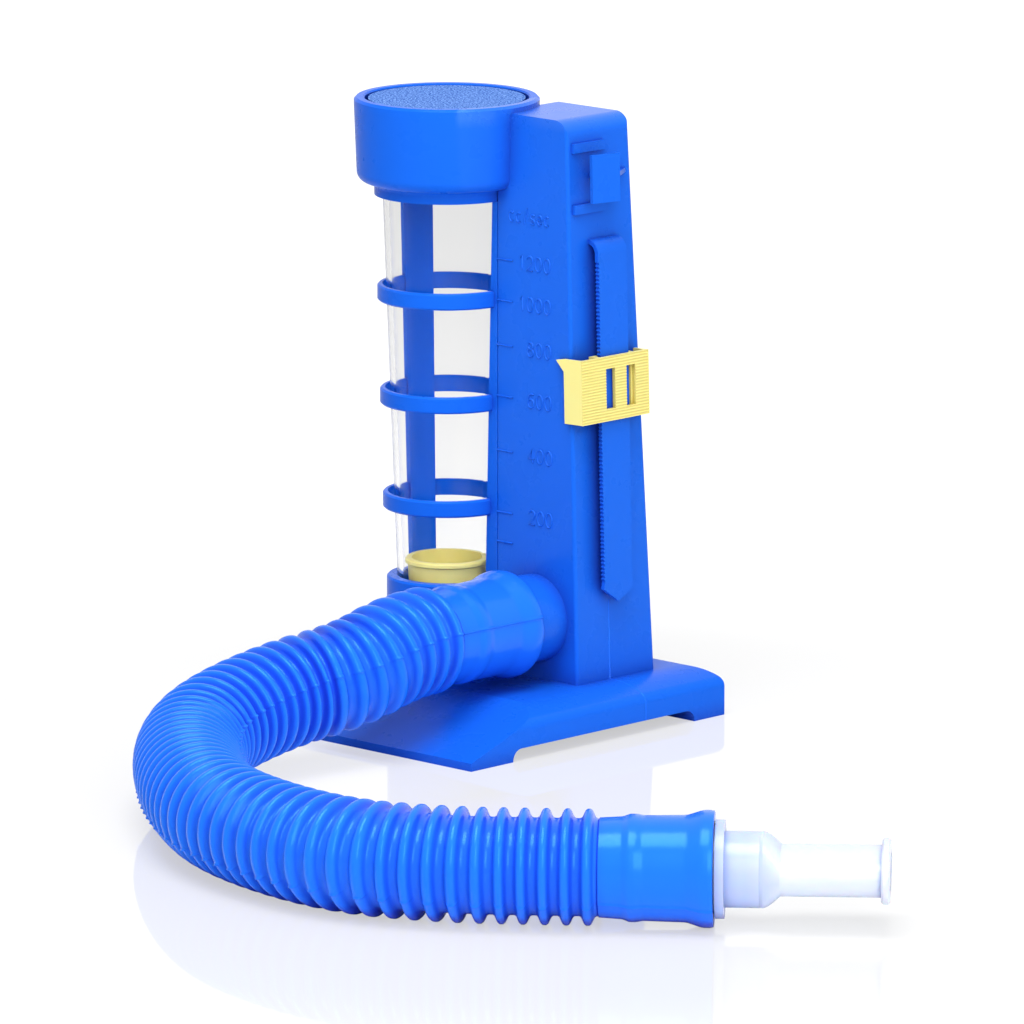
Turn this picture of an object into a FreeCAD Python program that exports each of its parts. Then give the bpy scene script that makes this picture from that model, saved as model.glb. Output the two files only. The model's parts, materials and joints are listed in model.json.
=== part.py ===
import FreeCAD, Part
import math
import os
import re
import Sketcher
from FreeCAD import Placement, Rotation, Vector

# A hand-held breathing exerciser: a tapered tower carries a clear metering tube in a ring cage,
# a filter cup on top, a sliding goal pointer on a serrated rail, and a corrugated hose with a
# mouthpiece. +Z is up, the origin is the centre of the base's underside, the printed scale
# faces -Y and the pointer rail faces +X. All sizes are in millimetres.
SIZES = {
    # base
    "base_width": 89.4,
    "base_depth": 99.6,
    "base_height": 12.9,
    "base_wall": 2.2,
    "base_side_height": 7.9,
    "rail_side_round": 12.2,
    "tube_side_round": 6.2,
    "rail_side_turn": 24.0,
    "tube_side_turn": 40.0,
    "ramp_length": 30.0,
    "ramp_edge": 2.2,
    "back_edge_round": 4.5,
    "near_foot": 16.2,
    "far_foot": 12.1,
    "foot_height": 3.3,
    "foot_slope": 3.0,
    "socket_clearance": 1.0,
    "cover_thickness": 1.6,
    "cover_gap": 0.15,
    # tower
    "tower_left": 1.0,
    "tower_right_low": 31.27,
    "tower_right_high": 26.94,
    "scale_face": 5.45,
    "tower_back_low": 36.25,
    "tower_back_high": 29.63,
    "tower_top": 167.26,
    "tower_wall": 2.0,
    "tower_edge_round": 1.0,
    "tower_left_round": 0.6,
    "tower_top_round": 4.5,
    "divider_setback": 12.5,
    "divider_thickness": 1.6,
    # metering tube
    "tube_across": -19.0,
    "tube_along": 6.55,
    "tube_low": 27.0,
    "tube_head_room": 3.4,
    "tube_high": "=cup_floor_low - tube_head_room",
    "tube_radius_low": 13.38,
    "tube_radius_high": 17.66,
    "tube_taper": "=(tube_radius_high - tube_radius_low) / (tube_high - tube_low)",
    "tube_wall": 1.5,
    "tube_fit_gap": 0.1,
    "seal_thickness": 1.0,
    # cage
    "socket_radius": 16.63,
    "socket_top": 36.8,
    "ring_height": 4.54,
    "ring_thickness": 1.42,
    "ring_edge": 0.5,
    "low_ring_top": 60.18,
    "low_ring_stand": 3.1,
    "low_ring_radius": "=tube_radius_low + tube_taper * (low_ring_top - tube_low) + low_ring_stand",
    "middle_ring_top": 89.08,
    "middle_ring_stand": 2.77,
    "middle_ring_radius": "=tube_radius_low + tube_taper * (middle_ring_top - tube_low) + middle_ring_stand",
    "high_ring_top": 117.76,
    "high_ring_stand": 2.41,
    "high_ring_radius": "=tube_radius_low + tube_taper * (high_ring_top - tube_low) + high_ring_stand",
    "bar_start_angle": 147.0,
    "bar_sweep_angle": 31.0,
    "bar_foot_extra": 1.2,
    "near_bar_depth": 9.0,
    "near_bar_reach": 10.0,
    # float and its seat
    "float_rim_radius": 11.57,
    "float_foot_radius": 10.2,
    "float_rim_top": 41.65,
    "float_height": 14.0,
    "float_wall": 1.1,
    "float_edge": 0.4,
    "float_foot_round": 1.2,
    "float_lip_width": 0.7,
    "float_lip_height": 1.6,
    "float_rest_gap": 0.3,
    "seat_thickness": 2.0,
    "seat_hub_radius": 4.0,
    "seat_hole_radius": 2.2,
    "seat_hole_circle": 7.6,
    "seat_hole_count": 8,
    "stop_thickness": 1.6,
    "stop_bar_width": 2.2,
    # filter cup
    "neck_wall": 2.16,
    "neck_radius": "=tube_radius_high + neck_wall",
    "cup_overhang": 4.68,
    "cup_radius_low": "=neck_radius + cup_overhang",
    "cup_flare": 0.8,
    "cup_radius_high": "=cup_radius_low + cup_flare",
    "neck_depth": 24.76,
    "neck_low": "=tower_top - neck_depth",
    "cup_depth": 21.26,
    "cup_low": "=tower_top - cup_depth",
    "cup_under_round": 3.0,
    "cup_blend_round": 1.5,
    "cup_wall": 2.6,
    "cup_floor_depth": 15.86,
    "cup_floor_thickness": 2.0,
    "cup_floor_high": "=tower_top - cup_floor_depth",
    "cup_floor_low": "=cup_floor_high - cup_floor_thickness",
    "grid_leg_height": 3.6,
    "grid_thickness": 1.4,
    "grid_hole_radius": 2.4,
    "grid_hole_spacing": 6.2,
    "grid_rim": 1.4,
    "grid_leg_gap": 6.0,
    "window_height": 4.4,
    "window_depth": 6.0,
    "intake_height": 3.0,
    "intake_width": 6.0,
    "foam_side_gap": 0.5,
    "foam_rise": 1.64,
    "foam_top": "=tower_top + foam_rise",
    "cap_ring_height": 2.03,
    "cap_ring_top": "=tower_top + cap_ring_height",
    "cap_ring_width": 2.9,
    "cap_ring_edge": 0.7,
    "cap_ring_inner_edge": 0.4,
    # port and hose cuffs
    "port_across": 15.43,
    "port_up": 29.69,
    "port_collar_radius": 12.04,
    "port_collar_length": 11.77,
    "spigot_radius": 11.0,
    "spigot_length": 14.0,
    "port_bore": 9.2,
    "cuff_lip_radius": 14.75,
    "cuff_lip_length": 2.8,
    "cuff_cone_length": 4.0,
    "cuff_body_radius": 13.45,
    "cuff_body_length": 11.3,
    "cuff_bead_foot": 13.2,
    "cuff_bead_radius": 13.55,
    "cuff_bead_length": 4.3,
    "cuff_neck_foot": 12.9,
    "cuff_neck_radius": 12.5,
    "cuff_neck_length": 6.3,
    "cuff_bore": 11.05,
    "cuff_edge": 0.4,
    "cuff_bead_slope": 0.9,
    "spigot_edge": 0.6,
    "hose_radius": 14.65,
    "hose_bore": 10.6,
    "hose_inner_radius": 11.9,
    "hose_rest_up": 14.75,
    "hose_end_across": 188.94,
    "hose_end_along": -152.63,
    "hose_end_heading": 40.5,
    # mouthpiece
    "mouth_gap": 0.35,
    "mouth_spigot_radius": 10.98,
    "mouth_spigot_length": 13.0,
    "mouth_collar_radius": 12.4,
    "mouth_collar_length": 2.3,
    "mouth_body_radius": 9.6,
    "mouth_body_length": 8.8,
    "mouth_shoulder_length": 5.2,
    "mouth_shoulder_steps": 6,
    "mouth_blade_length": 25.2,
    "mouth_blade_width": 24.0,
    "mouth_blade_height": 11.9,
    "mouth_lip_length": 2.2,
    "mouth_lip_width": 27.6,
    "mouth_lip_height": 15.3,
    "mouth_wall": 1.5,
    "mouth_lip_edge": 0.5,
    "mouth_section_bite": 1.0,
    "mouth_section_slip": 0.05,
    # pointer rail, pointer and storage hook, measured on the leaning rail face
    "rail_middle": 18.4,
    "rail_width": 11.2,
    "rail_low": 22.0,
    "rail_depth": 36.56,
    "rail_high": "=tower_top - base_height - rail_depth",
    "rail_stand_off": 2.6,
    "rail_strip": 1.2,
    "rail_stem_width": 4.4,
    "rail_tip": 2.8,
    "rail_shoulder": 3.9,
    "tooth_pitch": 1.1,
    "tooth_depth": 0.4,
    "slider_front": 4.1,
    "slider_back": 30.5,
    "slider_low": 72.2,
    "slider_height": 17.6,
    "slider_plate_in": 4.15,
    "slider_plate": 1.1,
    "slider_leg_depth": 6.8,
    "slider_leg": 1.0,
    "slider_lip_gap": 0.35,
    "slider_lip": 1.2,
    "slider_slot_width": 3.5,
    "slider_slot_height": 11.1,
    "slider_slot_spacing": 8.0,
    "slider_far_leg": 3.75,
    "pointer_reach": 2.8,
    "pointer_height": 3.4,
    "pointer_drop": 0.4,
    "slider_rib_pitch": 0.8,
    "slider_rib_depth": 0.15,
    "hook_front": 8.7,
    "hook_width": 9.0,
    "hook_yaw": 12.0,
    "hook_depth": 22.06,
    "hook_low": "=tower_top - base_height - hook_depth",
    "hook_height": 13.1,
    "hook_stand_off": 5.25,
    "hook_plate": 1.25,
    "hook_web": 1.2,
    "hook_web_reach": 10.8,
    "hook_web_setback": 5.0,
    "hook_bar_height": 2.6,
    "hook_bar_depth": 1.0,
    "hook_bar_front": 7.1,
    "hook_bar_length": 12.3,
    "hook_bar_gap_above": 0.2,
    "hook_bar_gap_below": 0.8,
}

# The hose's route between its cuffs, chosen by hand from the photograph; its first and last
# points are worked out from the port and from the far cuff.
HOSE_ROUTE = [
    (15.43, -47.0, 29.69),
    (15.4, -65.1, 24.8),
    (8.4, -85.7, 21.3),
    (11.8, -115.5, 17.5),
    (24.2, -136.4, 14.75),
    (57.7, -165.1, 14.75),
    (88.0, -182.5, 14.75),
    (131.5, -189.1, 14.75),
    (158.5, -177.5, 14.75),
    (178.29, -161.72, 14.75),
]

# Share of the shorter run that each rounded corner of the hose takes up.
CORNER_SHARE = 0.45
# Points round each section of the mouthpiece, and how square its flat sections are.
OVAL_POINTS = 24
FLAT_POWER = 0.8

DOC = FreeCAD.newDocument("breathing_exerciser")
NODES = []


def make_sheet():
    sheet = DOC.addObject("Spreadsheet::Sheet", "sizes")
    for row, (alias, number) in enumerate(SIZES.items(), start=1):
        sheet.set(f"A{row}", alias)
        sheet.set(f"B{row}", str(number))
        sheet.setAlias(f"B{row}", alias)
    DOC.recompute()
    return sheet


SHEET = make_sheet()


def size(alias):
    return float(SHEET.get(alias))


def bound(text):
    """The expression with each size named by its cell in the sheet."""
    return re.sub(r"[a-z_]+", lambda word: f"sizes.{word[0]}" if word[0] in SIZES else word[0], text)


def number(text):
    return float(SHEET.evalExpression(bound(text)))


def keep(item, label):
    """Mark an object as a finished sub-part under its node's name."""
    item.Label = label
    NODES.append(item)
    return item


def outline(body, role, corners):
    """A closed sketch through corners, each an (across, up) pair of expressions in sizes."""
    sketch = body.newObject("Sketcher::SketchObject", "outline")
    plane = next(item for item in body.Origin.OriginFeatures if item.Role == role)
    sketch.AttachmentSupport = [(plane, "")]
    sketch.MapMode = "FlatFace"
    places = [Vector(number(across), number(up), 0) for across, up in corners]
    count = len(places)
    for i in range(count):
        sketch.addGeometry(Part.LineSegment(places[i], places[(i + 1) % count]), False)
    for i in range(count):
        sketch.addConstraint(Sketcher.Constraint("Coincident", i, 2, (i + 1) % count, 1))
    for i, (across, up) in enumerate(corners):
        for kind, text, at in (("DistanceX", across, places[i].x), ("DistanceY", up, places[i].y)):
            index = sketch.addConstraint(Sketcher.Constraint(kind, -1, 1, i, 1, at))
            sketch.setExpression(f"Constraints[{index}]", bound(text))
    return sketch


def turned_body(name, corners, placement):
    """A body turned about its own Z from corners given as (radius, height)."""
    body = DOC.addObject("PartDesign::Body", name)
    sketch = outline(body, "XZ_Plane", corners)
    turn = body.newObject("PartDesign::Revolution", "turn")
    turn.Profile = sketch
    turn.ReferenceAxis = (sketch, ["V_Axis"])
    turn.Angle = 360
    body.Placement = placement
    DOC.recompute()
    return body


def solid_from(label, shape):
    """A sub-part whose shape is worked out from the sheet by the code that calls this."""
    item = DOC.addObject("Part::Feature", label)
    item.Shape = shape
    return keep(item, label)


def tube_axis():
    return Placement(Vector(size("tube_across"), size("tube_along"), 0), Rotation())


def lean_angle():
    """How far the rail face leans inwards, in degrees."""
    inward = size("tower_right_low") - size("tower_right_high")
    return math.degrees(math.atan2(inward, size("tower_top") - size("base_height")))


def rail_frame():
    """The leaning frame of the rail face: X out of the face, Z up along it, from the base's top."""
    foot = Vector(size("tower_right_low"), 0, size("base_height"))
    return Placement(foot, Rotation(Vector(0, 1, 0), -lean_angle()))


def prism(points, direction):
    """A straight prism on a closed outline whose sides may be arcs through a middle point."""
    edges = []
    count = len(points)
    for i in range(count):
        start, end = points[i][0], points[(i + 1) % count][0]
        through = points[i][1]
        if through is None:
            edges.append(Part.LineSegment(start, end).toShape())
        else:
            edges.append(Part.Arc(start, through, end).toShape())
    return Part.Face(Part.Wire(edges)).extrude(direction)


def box(low, high):
    return Part.makeBox(high[0] - low[0], high[1] - low[1], high[2] - low[2], Vector(*low))


def base_side_view(inset):
    """The base seen from the rail side: ramp in front, rounded edge behind, arched between feet."""
    half = size("base_depth") / 2
    top = size("base_height")
    soft = size("back_edge_round")
    ramp_start = -half + size("ramp_length")
    near = -half + size("near_foot")
    far = half - size("far_foot")
    slope = size("foot_slope")
    rise = size("foot_height")
    bend = soft * (1 - math.sqrt(0.5))
    near_part, up_part = slope * (1 - math.sqrt(0.5)), rise * math.sqrt(0.5)
    places = [
        (-half, 0, None), (-half, size("ramp_edge"), None), (ramp_start, top, None),
        (half - soft, top, (half - bend, top - bend)), (half, top - soft, None), (half, 0, None),
        (far, 0, (far - near_part, up_part)), (far - slope, rise, None),
        (near + slope, rise, (near + near_part, up_part)), (near, 0, None),
    ]
    reach = size("base_width") / 2 - inset

    def at(along, up):
        return Vector(-reach, along, up)

    points = [(at(along, up), None if mid is None else at(*mid)) for along, up, mid in places]
    return prism(points, Vector(2 * reach, 0, 0))


def side_round(width, drop, turn):
    """Two tangent arcs from the level top to the upright side, as (inward, down) points."""
    sin, cos = math.sin(turn), math.cos(turn)
    share = sin + cos - 1
    large = (width * cos - drop * (1 - sin)) / share
    small = (drop * sin - width * (1 - cos)) / share
    half, steep = turn / 2, (turn + math.pi / 2) / 2
    large_middle = (width - large * math.sin(half), large * (1 - math.cos(half)))
    joint = (width - large * sin, large * (1 - cos))
    small_middle = (small * (1 - math.sin(steep)), drop - small * math.cos(steep))
    return large_middle, joint, small_middle


def base_end_view(inset):
    """The base seen from the front: upright sides that round over into the flat top."""
    half = size("base_width") / 2 - inset
    top = size("base_height") - inset
    side = size("base_side_height") - inset
    depth = size("base_depth") / 2
    near_width, far_width = size("rail_side_round"), size("tube_side_round")
    near = side_round(near_width, top - side, math.radians(size("rail_side_turn")))
    far = side_round(far_width, top - side, math.radians(size("tube_side_turn")))

    def at(across, up):
        return Vector(across, -depth, up)

    def on_far(point):
        return at(-half + point[0], top - point[1])

    def on_near(point):
        return at(half - point[0], top - point[1])

    points = [
        (at(-half, 0), None),
        (at(-half, side), on_far(far[2])),
        (on_far(far[1]), on_far(far[0])),
        (at(-half + far_width, top), None),
        (at(half - near_width, top), on_near(near[0])),
        (on_near(near[1]), on_near(near[2])),
        (at(half, side), None),
        (at(half, 0), None),
    ]
    return prism(points, Vector(0, 2 * depth, 0))


def base_hollow(gap):
    """The space inside the base between its feet, drawn in by a gap on each side."""
    half = size("base_depth") / 2
    wall = size("base_wall")
    low = -half + size("ramp_length") + gap
    high = half - size("far_foot") - size("foot_slope") - wall - gap
    reach = size("base_width") / 2 - wall - gap
    room = box((-reach, low, 0), (reach, high, size("base_height") - wall))
    return room.common(base_end_view(wall))


def rear_duct_room(wall_gap):
    """Plan of the rear duct: between the divider and the tower's back wall."""
    inside = size("tower_wall") + wall_gap
    low = size("scale_face") + size("divider_setback") + size("divider_thickness") + wall_gap
    return (
        (size("tower_left") + inside, low),
        (size("tower_right_low") - inside, size("tower_back_low") - inside),
    )


def make_base():
    shape = base_side_view(0).common(base_end_view(0)).cut(base_hollow(0))
    duct_low, duct_high = rear_duct_room(size("socket_clearance"))
    window = box((*duct_low, 0), (*duct_high, size("base_height") + 1))
    socket_bore = Part.makeCylinder(
        size("seat_hole_circle") + size("seat_hole_radius"),
        size("base_height") + 1,
        Vector(size("tube_across"), size("tube_along"), 0),
    )
    solid_from("base_plinth", shape.cut(window).cut(socket_bore))
    low = size("foot_height")
    reach, along = size("base_width"), size("base_depth")
    slab = box((-reach, -along, low), (reach, along, low + size("cover_thickness")))
    solid_from("base_cover", base_hollow(size("cover_gap")).common(slab))


def tower_wedge(name, inset, low, high):
    """The tower's tapered form drawn in by an inset, between two heights."""
    total = "(tower_top - base_height)"
    solid = DOC.addObject("Part::Wedge", name)

    def at(start, end, height):
        return f"{start} + ({end} - {start}) * (({height}) - base_height) / {total}"

    right_low = at("tower_right_low", "tower_right_high", low)
    right_high = at("tower_right_low", "tower_right_high", high)
    back_low = at("tower_back_low", "tower_back_high", low)
    back_high = at("tower_back_low", "tower_back_high", high)
    cells = {
        "Ymin": low, "Ymax": high,
        "Xmin": f"tower_left + {inset}", "X2min": f"tower_left + {inset}",
        "Xmax": f"{right_low} - {inset}", "X2max": f"{right_high} - {inset}",
        "Zmin": f"{inset} - ({back_low})", "Z2min": f"{inset} - ({back_high})",
        "Zmax": f"-scale_face - {inset}", "Z2max": f"-scale_face - {inset}",
    }
    for cell, text in cells.items():
        setattr(solid, cell, number(text))
        solid.setExpression(cell, bound(text))
    solid.Placement = Placement(Vector(), Rotation(Vector(1, 0, 0), 90))
    DOC.recompute()
    return solid


def edge_numbers(shape, wanted):
    """Numbers of the straight edges whose middle satisfies the test."""
    found = []
    for i, edge in enumerate(shape.Edges, start=1):
        middle = edge.valueAt((edge.FirstParameter + edge.LastParameter) / 2)
        if wanted(middle, edge.tangentAt(edge.FirstParameter)):
            found.append(i)
    return found


def cup_outer_corners():
    """The filter cup's outside, from its neck to its rim, before its two bends are rounded."""
    return [
        ("neck_radius", "neck_low"),
        ("neck_radius", "cup_low"),
        ("cup_radius_low", "cup_low"),
        ("cup_radius_high", "tower_top"),
    ]


def rounded_under(cup):
    """The cup with its underside rounded into its side and blended into its neck."""
    soft = DOC.addObject("Part::Fillet", cup.Name + "_rounded")
    soft.Base = cup
    radii = {"cup_radius_low": "cup_under_round", "neck_radius": "cup_blend_round"}
    rounds = []
    for i, edge in enumerate(cup.Shape.Edges, start=1):
        for radius, bend in radii.items():
            if not isinstance(edge.Curve, Part.Circle) or abs(edge.Curve.Radius - size(radius)) > 0.001:
                continue
            if abs(edge.Curve.Center.z - size("cup_low")) < 0.001:
                rounds.append((i, size(bend), size(bend)))
    soft.Edges = rounds
    DOC.recompute()
    return soft.Shape


def make_tower(cup_form):
    outer = tower_wedge("tower_outer", "0", "base_height", "tower_top")
    soft = DOC.addObject("Part::Fillet", "tower_rounded")
    soft.Base = outer
    half_way = (size("tower_top") + size("base_height")) / 2
    front = size("scale_face")

    def upright(middle, way):
        return abs(way.z) > 0.9 and abs(middle.z - half_way) < 5 and middle.x > front

    def beside_tube(middle, way):
        return abs(way.z) > 0.9 and middle.x < front and abs(middle.y - front) < 1

    def top_right(middle, way):
        return abs(way.y) > 0.9 and middle.z > half_way and middle.x > size("tower_left") + 5

    small = size("tower_edge_round")
    large = size("tower_top_round")
    rounds = [(i, small, small) for i in edge_numbers(outer.Shape, upright)]
    rounds += [(i, large, large) for i in edge_numbers(outer.Shape, top_right)]
    slight = size("tower_left_round")
    rounds += [(i, slight, slight) for i in edge_numbers(outer.Shape, beside_tube)]
    soft.Edges = rounds
    inner = tower_wedge("tower_inner", "tower_wall", "base_height", "tower_top - tower_wall")
    DOC.recompute()
    port_hole = Part.makeCylinder(
        size("port_bore"),
        size("tower_wall") + 2,
        Vector(size("port_across"), size("scale_face") - 1, size("port_up")),
        Vector(0, 1, 0),
    )
    shape = soft.Shape.cut(inner.Shape).cut(port_hole).cut(chamber_window()).cut(cup_form)
    solid_from("tower_housing", shape)
    divider = divider_form().common(inner.Shape).cut(cup_form)
    solid_from("duct_divider", divider)


def divider_form():
    """A wall between the two ducts that turns forward over the front one, below the cup floor."""
    thick = size("divider_thickness")
    back = size("scale_face") + size("divider_setback") + thick
    shelf = size("cup_floor_low") + thick
    left, right = size("tower_left") - 2 * thick, size("tower_right_low") + 2 * thick
    upright = box((left, back - thick, size("base_height")), (right, back, shelf))
    level = box((left, size("scale_face"), shelf - thick), (right, back, shelf))
    return upright.fuse(level).removeSplitter()


def chamber_window():
    """The passage from the chamber over the tube to the front duct."""
    through = size("tower_left") + size("tower_wall") + size("tube_fit_gap")
    high = size("cup_floor_low") - size("tube_fit_gap")
    front = size("scale_face") + size("tower_wall") + size("tube_fit_gap")
    start = size("tube_across") + size("tube_radius_low")
    return box(
        (start, front, high - size("window_height")), (through, front + size("window_depth"), high))


def make_cup():
    """The cup for the filter, with a chamber under its floor; returns its outside as a form to cut."""
    inner_top = "cup_radius_high - cup_wall"
    inner_low = "cup_radius_low - cup_wall"
    inside = [
        (inner_top, "tower_top"),
        (inner_low, "cup_floor_high"),
        ("0", "cup_floor_high"),
        ("0", "cup_floor_low"),
        ("tube_radius_high + tube_fit_gap", "cup_floor_low"),
        ("tube_radius_high + tube_fit_gap", "neck_low"),
    ]
    cup = turned_body("cup_turned", cup_outer_corners() + inside, tube_axis())
    solid_corners = cup_outer_corners() + [("0", "tower_top"), ("0", "neck_low")]
    form = turned_body("cup_form", solid_corners, tube_axis())
    low = size("cup_floor_high") + size("tube_fit_gap")
    start = size("tube_along") + size("divider_thickness")
    reach = size("tower_left") + size("cup_wall") + size("intake_width")
    intake = box((0, start, low), (reach, start + size("intake_width"), low + size("intake_height")))
    solid_from("filter_cup", rounded_under(cup).cut(chamber_window()).cut(intake))
    return rounded_under(form)


def make_filter():
    """A perforated grid on short legs, the foam disc that lies on it, and the ring that holds it."""
    radius = "(cup_radius_low - cup_wall - foam_side_gap)"
    leg_top = "cup_floor_high + grid_leg_height"
    foam_low = f"{leg_top} + grid_thickness"
    grid = turned_body("grid_turned", [
        (radius, "cup_floor_high"), (radius, foam_low), ("0", foam_low), ("0", leg_top),
        (f"{radius} - grid_rim", leg_top), (f"{radius} - grid_rim", "cup_floor_high"),
    ], tube_axis()).Shape
    hole, spacing = size("grid_hole_radius"), size("grid_hole_spacing")
    floor, high = size("cup_floor_high"), number(foam_low) + 1
    axis = Vector(size("tube_across"), size("tube_along"), 0)
    gaps = []
    for ring in range(int((number(radius) - size("grid_rim") - hole) / spacing) + 1):
        count = max(1, 6 * ring)
        for i in range(count):
            turn = 2 * math.pi * i / count
            place = axis + Vector(math.cos(turn), math.sin(turn), 0) * spacing * ring
            gaps.append(Part.makeCylinder(hole, high - floor, place + Vector(0, 0, floor)))
    half_gap = size("grid_leg_gap") / 2
    for i in range(6):
        notch = box((0, -half_gap, floor - 1), (size("cup_radius_high"), half_gap, number(leg_top)))
        notch.rotate(Vector(), Vector(0, 0, 1), 60 * i)
        notch.translate(axis)
        gaps.append(notch)
    solid_from("filter_grid", grid.cut(Part.makeCompound(gaps)))
    foam = [("0", foam_low), (radius, foam_low), (radius, "foam_top"), ("0", "foam_top")]
    keep(turned_body("foam", foam, tube_axis()), "foam_filter")
    inner = "cup_radius_high - cap_ring_width"
    ring = [
        (inner, "tower_top"), ("cup_radius_high", "tower_top"),
        ("cup_radius_high", "cap_ring_top - cap_ring_edge"),
        ("cup_radius_high - cap_ring_edge", "cap_ring_top"),
        (f"{inner} + cap_ring_inner_edge", "cap_ring_top"),
        (inner, "cap_ring_top - cap_ring_inner_edge"),
    ]
    keep(turned_body("cap_ring", ring, tube_axis()), "filter_ring")


def make_tube():
    corners = [
        ("tube_radius_low", "tube_low"), ("tube_radius_high", "tube_high"),
        ("tube_radius_high - tube_wall", "tube_high"), ("tube_radius_low - tube_wall", "tube_low"),
    ]
    keep(turned_body("tube", corners, tube_axis()), "meter_tube")
    seals = {
        "tube_bottom_seal": ("tube_radius_low", "tube_low - seal_thickness", "tube_low"),
        "tube_top_seal": ("tube_radius_high", "tube_high", "tube_high + seal_thickness"),
    }
    for label, (radius, low, high) in seals.items():
        inner = f"{radius} - tube_wall"
        ring = [(inner, low), (radius, low), (radius, high), (inner, high)]
        keep(turned_body(label + "_turned", ring, tube_axis()), label)


def cage_ring(radius, top):
    """One ring of the cage, with softened outer edges."""
    inner, low = f"{radius} - ring_thickness", f"{top} - ring_height"
    return turned_body("cage_ring", [
        (inner, low), (f"{radius} - ring_edge", low), (radius, f"{low} + ring_edge"),
        (radius, f"{top} - ring_edge"), (f"{radius} - ring_edge", top), (inner, top),
    ], tube_axis()).Shape


def make_cage():
    """Socket, three rings and two upright bars, moulded in one with the tower."""
    ledge = "tube_low - seal_thickness - seat_thickness"
    bore = "tube_radius_low + tube_taper * (socket_top - tube_low) + tube_fit_gap"
    opening = "seat_hole_circle + seat_hole_radius"
    socket = turned_body("socket", [
        (opening, "base_height"), ("socket_radius", "base_height"),
        ("socket_radius", "socket_top - ring_edge"), ("socket_radius - ring_edge", "socket_top"),
        (bore, "socket_top"), (bore, ledge), (opening, ledge),
    ], tube_axis()).Shape
    rings = [cage_ring(f"{name}_ring_radius", f"{name}_ring_top") for name in ("low", "middle", "high")]
    low, high = size("socket_top"), size("neck_low")
    slope = (size("high_ring_radius") - size("low_ring_radius")) / (
        size("high_ring_top") - size("low_ring_top"))

    def bar_radius(height):
        return size("low_ring_radius") + slope * (height - size("low_ring_top"))

    thick, foot = size("ring_thickness"), low - 2 * size("ring_edge")
    far_bar = turned_segment([
        (bar_radius(low) - thick - size("bar_foot_extra"), foot), (bar_radius(low), foot),
        (bar_radius(high), high), (bar_radius(high) - thick, high),
    ])
    axis = Vector(size("tube_across"), size("tube_along"), 0)
    clear = Part.makeCone(
        bar_radius(low) - thick, bar_radius(high) - thick, high - low, axis + Vector(0, 0, low))
    near_bar = box(
        (size("tube_across") + size("near_bar_reach"), size("scale_face"), low),
        (size("tower_left"), size("scale_face") + size("near_bar_depth"), high),
    ).cut(clear)
    solid_from("tube_cage", socket.multiFuse(rings + [far_bar, near_bar]).removeSplitter())


def turned_segment(corners):
    """A part turn about the tube's axis, for the far upright bar."""
    face = Part.Face(Part.makePolygon([Vector(r, 0, z) for r, z in corners + corners[:1]]))
    face.rotate(Vector(), Vector(0, 0, 1), size("bar_start_angle"))
    part = face.revolve(Vector(), Vector(0, 0, 1), size("bar_sweep_angle"))
    part.translate(Vector(size("tube_across"), size("tube_along"), 0))
    return part


def make_float():
    rim_low = "float_rim_top - float_height"
    lip_low = "float_rim_top - float_lip_height"
    floor = f"{rim_low} + float_wall"
    corners = [
        ("0", rim_low),
        ("float_foot_radius - float_foot_round", rim_low),
        ("float_foot_radius", f"{rim_low} + float_foot_round"),
        ("float_rim_radius - float_lip_width", lip_low),
        ("float_rim_radius", f"{lip_low} + float_edge"),
        ("float_rim_radius", "float_rim_top - float_edge"),
        ("float_rim_radius - float_edge", "float_rim_top"),
        ("float_rim_radius - float_lip_width - float_wall", "float_rim_top"),
        ("float_foot_radius - float_wall", f"{rim_low} + float_foot_round + float_wall"),
        ("float_foot_radius - float_foot_round - float_wall", floor),
        ("0", floor),
    ]
    keep(turned_body("float", corners, tube_axis()), "float_cup")
    ledge = "tube_low - seal_thickness - seat_thickness"
    edge = "tube_radius_low"
    hub_top = f"{rim_low} - float_rest_gap"
    seat = turned_body("seat_turned", [
        ("0", ledge), (edge, ledge), (edge, "tube_low - seal_thickness"),
        ("seat_hub_radius", "tube_low - seal_thickness"), ("seat_hub_radius", hub_top), ("0", hub_top),
    ], tube_axis()).Shape
    holes = []
    count = round(size("seat_hole_count"))
    for i in range(count):
        turn = 2 * math.pi * i / count
        place = Vector(math.cos(turn), math.sin(turn), 0) * size("seat_hole_circle")
        start = Vector(size("tube_across"), size("tube_along"), number(ledge) - 1) + place
        holes.append(Part.makeCylinder(size("seat_hole_radius"), size("seat_thickness") + 2, start))
    solid_from("float_seat", seat.cut(Part.makeCompound(holes)))


def make_float_stop():
    low = size("tube_high") + size("seal_thickness")
    high = low + size("stop_thickness")
    outer = size("tube_radius_high")
    axis = Vector(size("tube_across"), size("tube_along"), low)
    ring = Part.makeCylinder(outer, high - low, axis).cut(
        Part.makeCylinder(outer - size("tube_wall"), high - low, axis))
    half = size("stop_bar_width") / 2
    inner = outer - size("tube_wall") / 2
    bars = []
    for turn in (45, 135):
        bar = box((-inner, -half, low), (inner, half, high))
        bar.rotate(Vector(), Vector(0, 0, 1), turn)
        bar.translate(Vector(size("tube_across"), size("tube_along"), 0))
        bars.append(bar)
    solid_from("float_stop", ring.multiFuse(bars).removeSplitter())


def port_frame():
    """The port's axis: local Z runs forward out of the scale face."""
    face = Vector(size("port_across"), size("scale_face"), size("port_up"))
    return Placement(face, Rotation(Vector(1, 0, 0), 90))


def far_cuff_frame():
    """The far cuff's axis: local Z runs along the hose's end towards the mouthpiece."""
    end = Vector(size("hose_end_across"), size("hose_end_along"), size("hose_rest_up"))
    heading = Rotation(Vector(0, 0, 1), size("hose_end_heading"))
    return Placement(end, heading.multiply(Rotation(Vector(0, 1, 0), 90)))


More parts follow.
